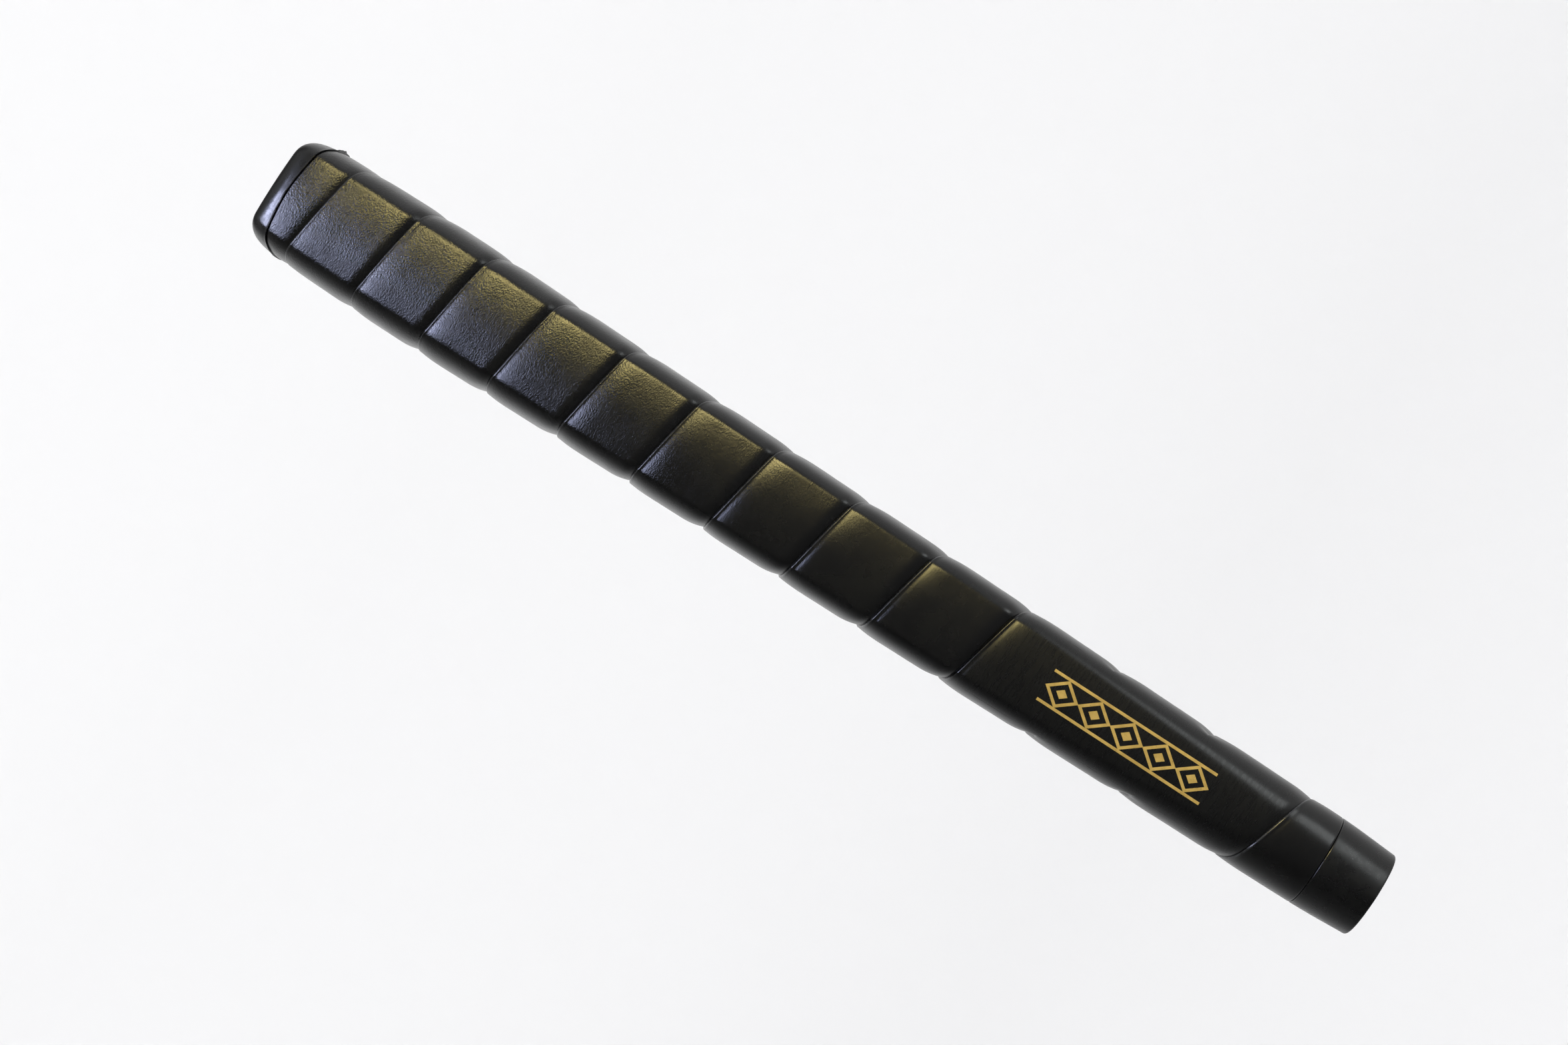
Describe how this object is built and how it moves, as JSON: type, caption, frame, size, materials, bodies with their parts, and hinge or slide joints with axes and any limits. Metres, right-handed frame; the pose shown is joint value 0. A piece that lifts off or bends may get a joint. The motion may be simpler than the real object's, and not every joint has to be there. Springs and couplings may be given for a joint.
{
  "type": "golf grip",
  "caption": "Pistol-style putter grip with a flat front, spiral leather-look wrap, smooth front panel, end cap and an open tapered bore for the shaft.",
  "frame": {"origin": "centre of the footprint at the flat face of the butt cap", "axes": "+Z along the bore axis from the butt to the mouth, -Y out of the flat front, +X to the right when the front is seen upright with the mouth at the top"},
  "size_m": [0.0275, 0.0276, 0.2683],
  "materials": {
    "cap_rubber": "smooth moulded satin",
    "wrap_skin": "fine-grained leather-look polyurethane, satin",
    "panel_skin": "smooth leather-look polyurethane, satin",
    "underlisting_rubber": "matte moulded rubber",
    "gold_foil": "hot-stamped foil, satin gold"
  },
  "bodies": {
    "root": {"end_cap": "cap_rubber", "core_sleeve": "underlisting_rubber", "wrap_main": "wrap_skin", "wrap_band_1": "wrap_skin", "wrap_band_2": "wrap_skin", "wrap_tail": "wrap_skin", "front_panel": "panel_skin", "foil_ornament": "gold_foil", "mouth_collar": "cap_rubber"}
  },
  "joints": []
}
